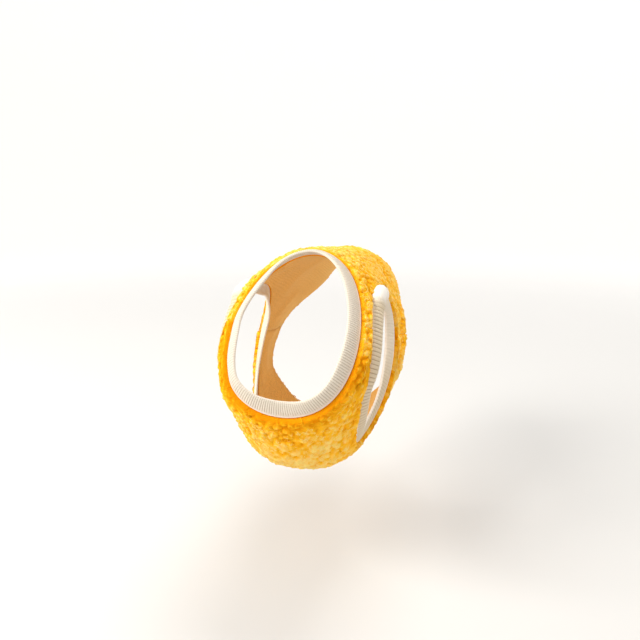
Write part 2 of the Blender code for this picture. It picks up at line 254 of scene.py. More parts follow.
def mesh_piece(name, points, face_groups, materials, group_materials=None):
    """A smooth mesh object from points and arrays of faces, riding on the part's body."""
    mesh = bpy.data.meshes.new(name)
    sizes = np.concatenate([np.full(len(group), group.shape[1]) for group in face_groups])
    mesh.vertices.add(len(points))
    mesh.vertices.foreach_set("co", np.asarray(points, np.float32).ravel())
    mesh.loops.add(int(sizes.sum()))
    corners = np.concatenate([group.ravel() for group in face_groups])
    mesh.loops.foreach_set("vertex_index", corners.astype(np.int32))
    mesh.polygons.add(len(sizes))
    starts = np.concatenate([[0], np.cumsum(sizes)[:-1]])
    mesh.polygons.foreach_set("loop_start", starts.astype(np.int32))
    if group_materials is not None:
        kinds = np.repeat(group_materials, [len(group) for group in face_groups])
        mesh.polygons.foreach_set("material_index", kinds.astype(np.int32))
    mesh.update(calc_edges=True)
    mesh.validate()
    mesh.shade_smooth()
    for material in materials:
        mesh.materials.append(material)
    piece = bpy.data.objects.new(name, mesh)
    bpy.context.scene.collection.objects.link(piece)
    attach(piece, "root")
    return piece


def point_value(piece, name, values):
    """A number at each point of a piece, for its material."""
    attribute = piece.data.attributes.new(name, "FLOAT", "POINT")
    attribute.data.foreach_set("value", np.asarray(values, np.float32).ravel())


# ------------------------------------------------------------------ the fleece panels
# Curled clumps of pile
CLUMP_HEIGHT = 0.0021
CLUMP_SPACING = 0.0034      # smallest distance between two clumps
CLUMP_RADIUS = 0.0032
CLUMP_SIZES = (0.75, 1.3)   # smallest and largest, as shares of the radius
CLUMP_HEIGHTS = (0.55, 1.0)
CLUMP_LENGTHS = (1.05, 1.6)     # length to width
CLUMP_DOME = 0.8            # power of a clump's dome
CLUMPS_NEAR = 7             # how many clumps shape one point
CLUMP_BLEND = 7             # power of the blend between them: a high one keeps them apart
CURL_TURNS = 1.3            # turns of the curl's groove from a clump's middle to its edge
CURL_DEPTH = 0.22

# Edges that are sewn
SEAM_GAP = 0.0003
SEWN_ROLL = 0.0013          # distance in which the fleece rolls down into a sewn seam
SEWN_EDGE = 0.0018          # its height right at the seam
EDGE_PILE = 0.5             # share of the pile's height that is left at the neckband
EDGE_PILE_FROM = 0.0004     # from here it grows to full height
SMOOTH_EDGE = 0.0018        # over this distance
ARM_EDGE_PILE = 0.0018      # beside an armhole band a place counts as this much further off
SIDE_SEAM_WIDTH = 0.0010
SIDE_SEAM_PILE = 0.6        # share of the pile's height that is left at the side seams
ARM_BEGINS = 0.02           # place on the loft where an armhole's edge starts to count
ARM_FADE = 0.03             # and the share of the loft in which it does so, and stops
NO_ARM = 0.02               # added to the distance from that edge where there is none
ARM_OVERHANG = 0.0014       # how far the largest clumps stand over the armhole bands
OVERHANG_RISE = 0.0020
OVERHANG_END = 0.0060
OVERHANG_FADE = 0.0040

# The hem
HEM_LIGHT = 0.0012          # width of its lighter edge
HEM_LIGHTER = 0.2
HEM_ROLL = 0.0030
HEM_CROWDING = 1.3          # how much closer the rows lie towards it
HEM_STITCH_AT = 0.0120      # line of stitching, from its edge
HEM_STITCH_WIDTH = 0.0015
HEM_STITCH_DEPTH = 0.0010
HEM_STITCH_PILE = 0.6       # share of the pile's height that the stitching takes
HEM_FULLNESS = 0.0011       # the turned cloth is that much thicker
HEM_FULLNESS_FADE = 0.004

# Painted shade deepens the chest's pile beside the bands; painted light pales it further down
NECK_PAINTED_SHADE = 0.0130         # how far that goes from the neckband
ARM_PAINTED_SHADE = 0.0180          # and from an armhole band
ARM_PAINTED_SHADE_SHARE = 0.8
PAINTED_LIGHT = 0.6                 # how much paler it gets
PAINTED_LIGHT_FROM = 0.018          # from the neckband
PAINTED_LIGHT_FADE = 0.030
PAINTED_SHADING_FROM = math.radians(95)   # angle from the spine
PAINTED_SHADING_FADE = math.radians(25)

# Rows of a panel's grid: shares of them before the armhole and beside it, and how even the
# ones beside it are
FRONT_ROWS = 0.09
ARM_ROWS = 0.46
ARM_ROWS_EVEN = 0.6
BACKING_STEP = 4            # outer cells to one cell of the plain backing

# middle is the angle of a panel's middle, direction the way to it from the armhole, reach the
# armhole's on that side, and floor the height between the clumps above the inner face
Panel = namedtuple("Panel", "name node middle direction reach rows columns floor seed")
BACK = Panel("back_fleece", "back_panel", 0.0, -1, ARM_UP, 240, 328, 0.0037, 11)
CHEST = Panel("chest_fleece", "chest_panel", math.pi, 1, ARM_DOWN, 212, 316, 0.0046, 12)
BACK_FLAT = (0.182, 0.184)      # largest width and length of the cloth, measured along it
CHEST_FLAT = (0.199, 0.156)

# Locks of curled yarn lie on the clumps. A lock's cross-section is a low ridge: how far each
# corner lies aside and above, and how far its shading leans aside. The flat underside, from the
# second corner on, is sunk in the clumps.
LOCK_SECTION = ((0.0, 0.65, 0.0), (-1.0, -0.25, -0.55), (1.0, -0.25, 0.55))
UNDERSIDE = 1
LOCK_TAPER = (0.3, 0.85, 1.0, 1.0, 0.8, 0.2)    # thickness at each of its points
LOCK_LOOP = (0.0008, 0.0018)        # smallest and largest radius of a lock's loop
LOCK_COILING = 0.4                  # share of the radius that is lost along it
LOCK_SWEEP = (110, 260)             # degrees that it turns through
LOCK_THICK = (0.00022, 0.00036)
LOCK_LIFT = (-0.00004, 0.00016)     # above the clumps
LOCK_ARCH = (0.15, 0.85)            # part of a half wave that the lift follows
LOCKS_FROM = 0.5                    # strength of the pile above which locks lie on it
# Painted light makes the locks lighter on top of the clumps
PAINTED_CLUMP_TOP_LIGHT = 0.8                    # how much lighter they are on top of the clumps
LOCK_TONE = 0.12
LOCK_TONES = (-0.3, 0.42)           # how far single locks differ
Pile = namedtuple("Pile", "name panel locks first_column last_column seed")
PILES = (
    Pile("back_pile_right", BACK, 4000, 0.0, 0.5, 21),
    Pile("back_pile_left", BACK, 4000, 0.5, 1.0, 22),
    Pile("chest_pile", CHEST, 4800, 0.0, 1.0, 23),
)


def row_places(rows):
    """Places of a panel's rows up to the armhole's rear, then shares of the way to the hem."""
    front = int(rows * FRONT_ROWS)
    arm = int(rows * ARM_ROWS)
    rear = rows + 1 - front - arm
    turn = np.linspace(0, math.pi, arm + 1)
    sweep = (1 - ARM_ROWS_EVEN) * np.cos(turn) + ARM_ROWS_EVEN * (1 - 2 * turn / math.pi)
    places = np.concatenate([np.linspace(0, ARM_FRONT, front + 1)[:-1],
                             ARM_AT - ARM_SPAN * sweep[:-1]])
    return places, 1 - np.linspace(1, 0, rear)**HEM_CROWDING


def panel_grid(panel):
    """Places and angles of a panel's fine grid, with distances to its edges in metres."""
    places, shares = row_places(panel.rows)
    across = np.linspace(-1, 1, panel.columns + 1)
    rows = len(places) + len(shares)
    at = np.zeros((rows, panel.columns + 1))
    angle = np.zeros_like(at)
    for row in range(rows):
        if row < len(places):
            reach = panel.reach * arm_reach(places[row], panel.direction < 0)
            edge = ARM_ANGLE + panel.direction * reach
        else:
            edge = ARM_ANGLE + SIDE_SEAM_SLANT * shares[row - len(places)]
        angle[row] = panel.middle + abs(edge - panel.middle) * across
        if row < len(places):
            at[row] = places[row]
        else:
            hem = hem_at(angle[row])
            at[row] = ARM_REAR + (hem - ARM_REAR) * shares[row - len(places)]
    flat = loft(at, angle)
    steps = np.linalg.norm(np.diff(flat, axis=1), axis=2)
    run = np.concatenate([np.zeros((rows, 1)), np.cumsum(steps, axis=1)], axis=1)
    side = np.minimum(run, run[:, -1:] - run)
    climb = np.linalg.norm(np.diff(flat, axis=0), axis=2)
    length = np.concatenate([np.zeros((1, at.shape[1])), np.cumsum(climb, axis=0)], axis=0)
    return at, angle, side, length, length[-1:] - length


def scattered(points, spacing, rng):
    """Numbers of points at least `spacing` apart, picked in a random order."""
    order = rng.permutation(len(points))
    cells, kept = {}, []
    keys = np.floor(points / spacing).astype(int)
    near = [(i, j, k) for i in (-1, 0, 1) for j in (-1, 0, 1) for k in (-1, 0, 1)]
    for number in order:
        key = tuple(keys[number])
        point = points[number]
        clear = True
        for i, j, k in near:
            for other in cells.get((key[0] + i, key[1] + j, key[2] + k), ()):
                gap = points[other] - point
                if gap @ gap < spacing * spacing:
                    clear = False
                    break
            if not clear:
                break
        if clear:
            cells.setdefault(key, []).append(number)
            kept.append(number)
    return np.array(kept)


def tangents(normals, turns):
    """Unit vectors square to the normals, each turned by its own angle."""
    helper = np.where(np.abs(normals[:, :1]) < 0.8, [[1.0, 0, 0]], [[0, 1.0, 0]])
    first = unit(np.cross(normals, helper))
    second = np.cross(normals, first)
    return np.cos(turns)[:, None] * first + np.sin(turns)[:, None] * second


def clumps(points, normals, rng):
    """Height of the curly pile at each point, 0 to 1, from overlapping curled clumps."""
    seeds = scattered(points, CLUMP_SPACING, rng)
    count = len(seeds)
    radius = CLUMP_RADIUS * rng.uniform(*CLUMP_SIZES, count)
    height = rng.uniform(*CLUMP_HEIGHTS, count)
    longer = rng.uniform(*CLUMP_LENGTHS, count)
    spin = rng.choice([-1.0, 1.0], count)
    lay = tangents(normals[seeds], rng.uniform(0, 2 * math.pi, count))
    beside = np.cross(normals[seeds], lay)
    tree = kdtree.KDTree(count)
    for number, seed in enumerate(seeds):
        tree.insert(points[seed], number)
    tree.balance()
    near = np.array([[hit[1] for hit in tree.find_n(point, CLUMPS_NEAR)] for point in points])
    offset = points[:, None] - points[seeds][near]
    x = (offset * lay[near]).sum(-1) / (radius * np.sqrt(longer))[near]
    y = (offset * beside[near]).sum(-1) / (radius / np.sqrt(longer))[near]
    share = np.sqrt(x * x + y * y)
    dome = np.clip(1 - share**2, 0, 1)**CLUMP_DOME * height[near]
    groove = 2 * math.pi * share * CURL_TURNS - np.arctan2(y, x) * spin[near]
    dome = dome * (1 - CURL_DEPTH + CURL_DEPTH * (0.5 + 0.5 * np.cos(groove)))
    return (dome**CLUMP_BLEND).sum(1)**(1 / CLUMP_BLEND)


def arm_distance(at, side):
    """Distance to the edge that is sewn to an armhole band."""
    beside_arm = smooth_step((ARM_REAR + ARM_FADE - at) / ARM_FADE)
    beside_arm = beside_arm * smooth_step((at - ARM_BEGINS) / ARM_FADE)
    return side + (1 - beside_arm) * NO_ARM


def rounded(distance, width):
    """Height of a rounded edge of a given width, 0 to 1."""
    return np.sqrt(np.clip(1 - np.clip(1 - distance / width, 0, 1)**2, 0, 1))


def painted_pile_shading(angle, neck, arm):
    """How much painted shade deepens the pile at each point; below 0 painted light pales it."""
    shade = np.exp(-(neck / NECK_PAINTED_SHADE)**2) + ARM_PAINTED_SHADE_SHARE * np.exp(-(arm / ARM_PAINTED_SHADE)**2)
    shade = np.minimum(shade, 1) - PAINTED_LIGHT * smooth_step((neck - PAINTED_LIGHT_FROM) / PAINTED_LIGHT_FADE)
    return shade * smooth_step((np.abs(angle) - PAINTED_SHADING_FROM) / PAINTED_SHADING_FADE)


def closing_faces(outside, inside, step):
    """Faces from the outer grid's border to the inner one's, which has fewer points."""
    faces = []
    for number in range(len(inside)):
        here, there = inside[number], inside[(number + 1) % len(inside)]
        chain = [outside[(number * step + k) % len(outside)] for k in range(step + 1)]
        for k in range(step):
            faces.append((chain[k + 1], chain[k], here if k < step // 2 else there))
        faces.append((chain[step // 2], here, there))
    return np.array(faces)


def cell_areas(points):
    """Areas of a grid's cells."""
    down = points[1:, :-1] - points[:-1, :-1]
    across = points[:-1, 1:] - points[:-1, :-1]
    return np.linalg.norm(np.cross(down, across), axis=-1)


# A finished panel: its piece, its inner face and outer face, the way that the locks on it face,
# the clumps' height, how far the pile stands up, its painted shade and light, and the cloth's area
Sheet = namedtuple("Sheet", "piece smooth outer facing pile strength shade area")


def fleece_sheet(panel, outer_material, backing_material):
    """A closed sheet: the curly outer face, the knitted backing and the rim between them."""
    rng = np.random.default_rng(panel.seed)
    at, angle, side, neck, hem = panel_grid(panel)
    normals = outward(at, angle)
    base = inner_face(at, angle) + fold_lift(at, angle, CREASES)[..., None] * normals
    rows, columns = at.shape
    arm = arm_distance(at, side)
    pile = clumps((base + panel.floor * normals).reshape(-1, 3), normals.reshape(-1, 3), rng)
    pile = pile.reshape(rows, columns)

    beside_band = np.minimum(neck, arm + ARM_EDGE_PILE)
    strength = smooth_step((beside_band - EDGE_PILE_FROM) / SMOOTH_EDGE)
    strength = EDGE_PILE + (1 - EDGE_PILE) * strength
    stitched = np.exp(-((hem - HEM_STITCH_AT) / HEM_STITCH_WIDTH)**2)
    strength = strength * (1 - HEM_STITCH_PILE * stitched)
    turned = smooth_step((HEM_STITCH_AT - hem) / HEM_FULLNESS_FADE)
    joined = SIDE_SEAM_PILE + (1 - SIDE_SEAM_PILE) * smooth_step(side / SIDE_SEAM_WIDTH)
    height = panel.floor + HEM_FULLNESS * turned - HEM_STITCH_DEPTH * stitched
    height = height + CLUMP_HEIGHT * pile * strength * joined
    height = SEWN_EDGE + (height - SEWN_EDGE) * rounded(np.minimum(neck, arm), SEWN_ROLL)
    height = SEAM_GAP + (height - SEAM_GAP) * rounded(hem, HEM_ROLL)
    outer = base + height[..., None] * normals
    to_side = np.where(np.arange(columns) < columns / 2, -1, 1)[:, None]
    overhang = smooth_step(arm / OVERHANG_RISE) * smooth_step((OVERHANG_END - arm) / OVERHANG_FADE)
    overhang = ARM_OVERHANG * pile * overhang
    outer = outer + overhang[..., None] * to_side * unit(np.gradient(base, axis=1))

    rolled = np.clip(1 - hem / HEM_ROLL, 0, 1)[..., None]
    facing = np.sqrt(1 - rolled**2) * normals + rolled * unit(np.gradient(base, axis=0))

    inner = base[::BACKING_STEP, ::BACKING_STEP]
    in_rows, in_columns = inner.shape[:2]
    points = np.concatenate([outer.reshape(-1, 3), inner.reshape(-1, 3)])
    groups = [grid_faces(rows, columns),
              grid_faces(in_rows, in_columns, rows * columns)[:, ::-1],
              closing_faces(border_loop(rows, columns),
                            border_loop(in_rows, in_columns, rows * columns), BACKING_STEP)]
    piece = mesh_piece(panel.name, points, groups, [outer_material, backing_material],
                       (0, 1, 0))
    # Painted shade and light on the chest
    shade = painted_pile_shading(angle, neck, arm)
    # Painted shade between the clumps and by the seams, painted light on their tops
    painted_shading_and_tone = pile * strength + HEM_LIGHTER * np.exp(-(hem / HEM_LIGHT)**2)
    empty = np.zeros(in_rows * in_columns)
    point_value(piece, "painted_shading_and_tone", np.concatenate([painted_shading_and_tone.ravel(), empty]))
    point_value(piece, "shade", np.concatenate([shade.ravel(), empty]))
    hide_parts(panel.node)
    return Sheet(piece, base, outer, facing, pile, strength, shade,
                 float(cell_areas(base).sum()))


def sampled(values, row, column):
    """A grid's values at places between its points."""
    row = np.clip(row, 0, values.shape[0] - 1.001)
    column = np.clip(column, 0, values.shape[1] - 1.001)
    r, c = row.astype(int), column.astype(int)
    down, across = row - r, column - c
    if values.ndim == 3:
        down, across = down[..., None], across[..., None]
    upper = values[r, c] * (1 - across) + values[r, c + 1] * across
    lower = values[r + 1, c] * (1 - across) + values[r + 1, c + 1] * across
    return upper * (1 - down) + lower * down


def lock_places(pile, sheet, rng):
    """Where the locks start, in rows and columns of the panel's grid: evenly by its area."""
    areas = cell_areas(sheet.outer) * (sheet.strength[:-1, :-1] > LOCKS_FROM)
    first = int(pile.first_column * areas.shape[1])
    last = int(pile.last_column * areas.shape[1])
    areas[:, :first] = 0
    areas[:, last:] = 0
    chances = areas.ravel() / areas.sum()
    cells = rng.choice(len(chances), pile.locks, p=chances)
    row, column = np.unravel_index(cells, areas.shape)
    return row + rng.uniform(0, 1, pile.locks), column + rng.uniform(0, 1, pile.locks)


def locks(pile, sheet, material):
    """Short tapered ridges of yarn, each curled on the clumps of the fleece's surface."""
    rng = np.random.default_rng(pile.seed)
    row, column = lock_places(pile, sheet, rng)
    down = sampled(sheet.smooth, row + 1, column) - sampled(sheet.smooth, row - 1, column)
    across = sampled(sheet.smooth, row, column + 1) - sampled(sheet.smooth, row, column - 1)
    down_size, across_size = np.linalg.norm(down, axis=1), np.linalg.norm(across, axis=1)
    loop = rng.uniform(*LOCK_LOOP, pile.locks)
    share = np.linspace(0, 1, len(LOCK_TAPER))
    sweep = np.radians(rng.uniform(*LOCK_SWEEP, pile.locks)) * rng.choice([-1, 1], pile.locks)
    turn = rng.uniform(0, 2 * math.pi, pile.locks)[:, None] + sweep[:, None] * share
    reach = loop[:, None] * (1 - LOCK_COILING * share)
    rows = row[:, None] + reach * np.cos(turn) * 2 / down_size[:, None]
    columns = column[:, None] + reach * np.sin(turn) * 2 / across_size[:, None]
    normal = unit(sampled(sheet.facing, rows, columns))
    height = sampled(sheet.pile * sheet.strength, rows, columns)
    arch = np.sin(math.pi * np.linspace(*LOCK_ARCH, len(LOCK_TAPER)))
    lift = rng.uniform(*LOCK_LIFT, pile.locks)[:, None] * arch
    last_row, last_column = np.array(sheet.pile.shape) - 1
    beyond_rows = rows - np.clip(rows, 0, last_row)
    beyond_columns = columns - np.clip(columns, 0, last_column)
    path = sampled(sheet.outer, rows, columns) + lift[..., None] * normal
    path = path + beyond_rows[..., None] * down[:, None] / 2
    path = path + beyond_columns[..., None] * across[:, None] / 2
    ahead = unit(np.gradient(path, axis=1))
    aside = unit(np.cross(ahead, normal))
    above = np.cross(aside, ahead)
    radius = rng.uniform(*LOCK_THICK, pile.locks)[:, None] * np.array(LOCK_TAPER)
    points = np.stack([path + radius[..., None] * (beside * aside + up * above)
                       for beside, up, _ in LOCK_SECTION], axis=2)
    index = np.arange(points[..., 0].size).reshape(points.shape[:3])
    near, far = index[:, :-1], index[:, 1:]
    sides = np.stack([far, np.roll(far, -1, axis=2), np.roll(near, -1, axis=2), near], axis=-1)
    ends = np.concatenate([index[:, 0], index[:, -1, ::-1]])
    piece = mesh_piece(pile.name, points.reshape(-1, 3), [sides.reshape(-1, 4), ends],
                       [material])
    # Painted light on the locks higher up the clumps, and a random tone for each
    painted_shading_and_tone = height * PAINTED_CLUMP_TOP_LIGHT + LOCK_TONE + rng.uniform(*LOCK_TONES, pile.locks)[:, None]
    # The locks take the same painted shade and light as the pile below them
    shade = sampled(sheet.shade, rows, columns)
    point_value(piece, "painted_shading_and_tone", np.repeat(painted_shading_and_tone, len(LOCK_SECTION)))
    point_value(piece, "shade", np.repeat(shade, len(LOCK_SECTION)))
    shading = np.stack([above + lean * aside for _, _, lean in LOCK_SECTION], axis=2)
    shading = unit(shading).reshape(-1, 3)[sides]
    shading[:, :, UNDERSIDE] *= -1
    shading = np.concatenate([shading.reshape(-1, 3), np.repeat(-ahead[:, 0], 3, axis=0),
                              np.repeat(ahead[:, -1], 3, axis=0)])
    piece.data.normals_split_custom_set(shading)
    return piece


# ------------------------------------------------------------------ the ribbed bands
# How a band lies round its opening, by degrees: its width, how far it leans out and curls over
# in degrees, and the share of its ribs' height
Lay = namedtuple("Lay", "angle width lean puff rib")
NECK_LAY = (
    Lay(0, 0.0100, 22, 12, 1),
    Lay(60, 0.0100, 10, 12, 1),
    Lay(120, 0.0100, -6, 10, 1),
    Lay(180, 0.0105, -14, 8, 1),
    Lay(240, 0.0100, -6, 10, 1),
    Lay(300, 0.0100, 10, 12, 1),
)
ARM_LAY = (
    Lay(0, 0.0090, 4, 14, 1),
    Lay(14, 0.0100, 4, 35, 0.9),
    Lay(32, 0.0145, 18, 84, 0.3),
    Lay(52, 0.0150, 16, 88, 0.1),
    Lay(74, 0.0112, -12, 60, 0.3),
    Lay(108, 0.0095, -30, 34, 0.5),
    Lay(180, 0.0085, -40, 14, 0.5),
    Lay(225, 0.0080, -32, 10, 0.8),
    Lay(270, 0.0080, -12, 10, 1),
    Lay(315, 0.0085, 16, 8, 1),
)
ARM_RIBS = 116
NECK_RIBS = 204
RIB_WALL = 0.0022
RIB_MIDDLE = 0.45           # where a rib's height counts as 0, as a share of it
RIB_SIZES = (0.8, 1.15)
BAND_SET = 0.0018           # from the cloth's inner face to the middle of the band's wall
BEND_STEPS = 9              # steps in which the curve across a band is added up
WIDTH_WAVE = (0.00035, 3, 14)           # unevenness: its amount, and waves round the opening
LEAN_WAVE = (math.radians(4), 2, 9)
# Where the ribs flatten out, as over the top of a band's turn, a painted highlight makes it pale
PAINTED_HIGHLIGHT_FROM = 0.75           # share of a rib's height below which the yarn looks plain and pale
PAINTED_HIGHLIGHT_FADE = 0.6
SEWN_LINE = (0.12, 0.8)     # the pale line along the seam: its width across the band, its tone
FREE_LINE = 0.93            # where the line along the free edge begins
# height is that of a rib, per_rib its number of stations, edge the paleness of the free edge
Band = namedtuple("Band", "name lay ribs height per_rib edge")

# A band's cross-section: how far across it a point lies, on which face (1 outside, -1 inside)
# and its share of a rib's height
Corner = namedtuple("Corner", "across face rib")
BAND_SECTION = (
    Corner(0.00, 0.70, 0.0),
    Corner(0.04, 0.95, 0.05),
    Corner(0.10, 1.00, 0.15),
    Corner(0.17, 0.96, 0.55),
    Corner(0.25, 0.98, 1.0),
    Corner(0.40, 1.02, 1.0),
    Corner(0.58, 1.00, 1.0),
    Corner(0.74, 0.96, 1.0),
    Corner(0.87, 0.86, 0.95),
    Corner(0.95, 0.62, 0.8),
    Corner(0.99, 0.25, 0.6),
    Corner(1.00, -0.15, 0.5),
    Corner(0.98, -0.55, 0.6),
    Corner(0.92, -0.84, 0.7),
    Corner(0.78, -0.98, 0.7),
    Corner(0.52, -1.00, 0.7),
    Corner(0.26, -1.00, 0.7),
    Corner(0.08, -0.98, 0.3),
    Corner(0.00, -0.70, 0.0),
)


def lay_values(table, angles):
    """A band's table round its opening, smooth between the table's rows."""
    turns = np.array([row.angle for row in table])
    turns = np.concatenate([turns - 360, turns, turns + 360])
    at = np.degrees(angles) % 360
    row = np.searchsorted(turns, at, side="right") - 1
    share = smooth_step((at - turns[row]) / (turns[row + 1] - turns[row]))
    values = []
    for name in ("width", "lean", "puff", "rib"):
        entries = np.array([getattr(line, name) for line in table] * 3, float)
        values.append(entries[row] + (entries[row + 1] - entries[row]) * share)
    width, lean, puff, rib = values
    return width, np.radians(lean), np.radians(puff), rib


def waves(turns, rng, amount, lowest, highest):
    """A smooth uneven wave round a loop, with `lowest` to less than `highest` waves in it."""
    value = np.zeros_like(turns)
    for count in range(lowest, highest):
        value += rng.normal(0, 1 / math.sqrt(count)) * np.cos(count * turns
                                                             + rng.uniform(0, 2 * math.pi))
    return value * amount / max(np.abs(value).max(), 1e-9)


def rib_band(band, root, into, out, turns, rng, material):
    """A closed ribbed strip round an opening, sewn on at `root`.

    At each station it reaches `into` the opening, and `out` points away from the wearer.
    """
    width, lean, puff, depth = lay_values(band.lay, turns)
    width = width + waves(turns, rng, *WIDTH_WAVE)
    lean = lean + waves(turns, rng, *LEAN_WAVE)
    stations = len(root)
    phase = (np.arange(stations) % band.per_rib) / band.per_rib
    ridge = np.sqrt(np.clip(1 - (2 * phase - 1)**2, 0, 1)) - RIB_MIDDLE
    each = np.repeat(rng.uniform(*RIB_SIZES, band.ribs), band.per_rib) * depth
    lines = []
    for corner in BAND_SECTION:
        heading = lean + puff * (1 - 2 * np.linspace(0, corner.across, BEND_STEPS)[:, None])
        centre = root + (width * corner.across * np.cos(heading).mean(axis=0))[:, None] * into
        centre = centre + (width * corner.across * np.sin(heading).mean(axis=0))[:, None] * out
        turned = heading[-1] if corner.across > 0 else lean + puff
        face = np.cos(turned)[:, None] * out - np.sin(turned)[:, None] * into
        side = math.copysign(1, corner.face)
        offset = corner.face * RIB_WALL / 2 + side * corner.rib * band.height * ridge * each
        lines.append(centre + offset[:, None] * face)
    points = np.stack(lines, axis=1)
    corners = len(BAND_SECTION)
    index = np.arange(stations * corners).reshape(stations, corners)
    ahead = np.roll(index, -1, axis=0)
    beside = np.roll(index, -1, axis=1)
    both = np.roll(ahead, -1, axis=1)
    faces = np.stack([index, beside, both, ahead], axis=-1).reshape(-1, 4)
    piece = mesh_piece(band.name, points.reshape(-1, 3), [faces], [material])
    across = np.array([corner.across for corner in BAND_SECTION])
    along = np.arange(stations) / band.per_rib
    point_value(piece, "rib_phase", np.repeat(along, corners))
    point_value(piece, "across", (width[:, None] * across[None]).ravel())
    groove = np.clip(1 - RIB_MIDDLE - ridge, 0, 1) * depth
    crest = 1 - groove[:, None] * np.array([corner.rib for corner in BAND_SECTION])
    point_value(piece, "crest", crest.ravel())
    # Painted highlight where the ribs flatten out, and pale lines along the seam and the free edge
    plain = np.repeat(smooth_step((PAINTED_HIGHLIGHT_FROM - depth) / PAINTED_HIGHLIGHT_FADE), corners)
    sewn_width, sewn_tone = SEWN_LINE
    pale = sewn_tone * (across < sewn_width) + band.edge * (across > FREE_LINE)
    point_value(piece, "plain", np.maximum(plain, np.tile(pale, stations)))
    return piece


def evenly_round(curve, count):
    """Parameters that divide a closed curve of 0 to 2 pi into steps of equal length."""
    fine = np.linspace(0, 2 * math.pi, 2881)
    points = curve(fine)
    lengths = np.concatenate([[0], np.cumsum(np.linalg.norm(np.diff(points, axis=0), axis=1))])
    return np.interp(np.arange(count) / count * lengths[-1], lengths, fine), lengths[-1]


def sewn_band(band, place, side, seed, material):
    """A band round the opening whose edge `place` gives, and the edge's length."""
    def edge(turn):
        return inner_face(*place(turn))

    turns, length = evenly_round(edge, band.ribs * band.per_rib)
    out = outward(*place(turns))
    step = 1e-3
    into = side * unit(np.cross(edge(turns + step) - edge(turns - step), out))
    root = edge(turns) + BAND_SET * out + SEAM_GAP * into
    piece = rib_band(band, root, into, out, turns, np.random.default_rng(seed), material)
    return piece, length


def arm_band(name, node, side, seed, material):
    def place(turn):
        at, angle = arm_edge(turn)
        return at, side * angle

    band = Band(name, ARM_LAY, ARM_RIBS, 0.00055, 10, 0.7)
    piece, length = sewn_band(band, place, side, seed, material)
    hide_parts(node)
    return piece, length


def neck_band(material):
    def place(angle):
        return np.zeros_like(angle), angle

    band = Band("neck_rib", NECK_LAY, NECK_RIBS, 0.00045, 8, 0.0)
    piece, length = sewn_band(band, place, 1, 5, material)
    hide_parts("neckband")
    return piece, length


# ------------------------------------------------------------------ materials
class Nodes:
    """Short way to add linked nodes to a material; an input is a number or a node's output."""

    def __init__(self, name):
        self.material = bpy.data.materials.new(name)
        self.material.use_nodes = True
        self.tree = self.material.node_tree
        self.shader = self.tree.nodes["Principled BSDF"]

    def add(self, kind, settings=None, **inputs):
        """A node with its inputs set by name, or by number for those called i0, i1 and so on."""
        node = self.tree.nodes.new(kind)
        for key, value in (settings or {}).items():
            setattr(node, key, value)
        for key, value in inputs.items():
            name = key.replace("_", " ")
            socket = node.inputs[int(key[1:])] if key[0] == "i" and key[1:].isdigit() \
                else node.inputs[name]
            if isinstance(value, bpy.types.NodeSocket):
                self.tree.links.new(value, socket)
            else:
                socket.default_value = value
        return node

    def value(self, name):
        """What point_value stored under a name."""
        return self.add("ShaderNodeAttribute", {"attribute_name": name}).outputs["Fac"]

    def math(self, operation, first, second=0.0):
        return self.add("ShaderNodeMath", {"operation": operation}, i0=first,
                        i1=second).outputs[0]

    def vary(self, value, by, middle, amount):
        """A value that goes up and down with another one, round that one's middle."""
        return self.math("ADD", value,
                         self.math("MULTIPLY", self.math("SUBTRACT", by, middle), amount))

    def mix(self, share, first, second):
        """A colour between two others."""
        node = self.add("ShaderNodeMix", {"data_type": "RGBA"})
        for number, value in ((0, share), (6, first), (7, second)):
            if isinstance(value, bpy.types.NodeSocket):
                self.tree.links.new(value, node.inputs[number])
            elif number == 0:
                node.inputs[0].default_value = value
            else:
                node.inputs[number].default_value = (*value, 1)
        return node.outputs[2]

    def noise(self, scale, detail=2.0, roughness=0.5, distortion=0.0):
        where = self.add("ShaderNodeTexCoord").outputs["Object"]
        return self.add("ShaderNodeTexNoise", Vector=where, Scale=scale, Detail=detail,
                        Roughness=roughness, Distortion=distortion).outputs["Fac"]

    def spread(self, value, low, high):
        """A value stretched so that low becomes 0 and high becomes 1."""
        node = self.add("ShaderNodeMapRange", Value=value, From_Min=low, From_Max=high)
        return node.outputs[0]

    def bump(self, height, distance, strength=1.0, normal=None):
        node = self.add("ShaderNodeBump", Height=height, Distance=distance, Strength=strength)
        if normal is not None:
            self.tree.links.new(normal, node.inputs["Normal"])
        return node.outputs["Normal"]

    def finish(self, colour, normal, roughness, sheen=0.0, sheen_tint=(1, 1, 1)):
        self.tree.links.new(colour, self.shader.inputs["Base Color"])
        if normal is not None:
            self.tree.links.new(normal, self.shader.inputs["Normal"])
        self.shader.inputs["Roughness"].default_value = roughness
        self.shader.inputs["Specular IOR Level"].default_value = 0.05
        self.shader.inputs["Sheen Weight"].default_value = sheen
        self.shader.inputs["Sheen Roughness"].default_value = 0.5
        self.shader.inputs["Sheen Tint"].default_value = (*sheen_tint, 1)
        return self.material


# Painted shade between the clumps, the pile's own colour, and a painted highlight on the tips
FLEECE_PAINTED_SHADE = (0.82, 0.30, 0.002)
FLEECE_BODY = (0.97, 0.45, 0.013)
FLEECE_PAINTED_HIGHLIGHT = (1.00, 0.66, 0.18)
FLEECE_BACK = (0.93, 0.56, 0.17)
PAINTED_SHADE_TO_BODY = (0.08, 0.45)     # tones between which one colour turns into the next
BODY_TO_PAINTED_HIGHLIGHT = (0.48, 0.95)
PAINTED_SHADE_TONE = 0.46               # how much the shade lowers the tone
FIBRES = 900.0                  # scale of the noise that looks like single fibres
RIB_FIBRES = 2200.0
COURSES = 1150.0                # stitches to a metre along a rib
STITCH_LEAN = 1.3               # how steep the sides of a V-shaped stitch are
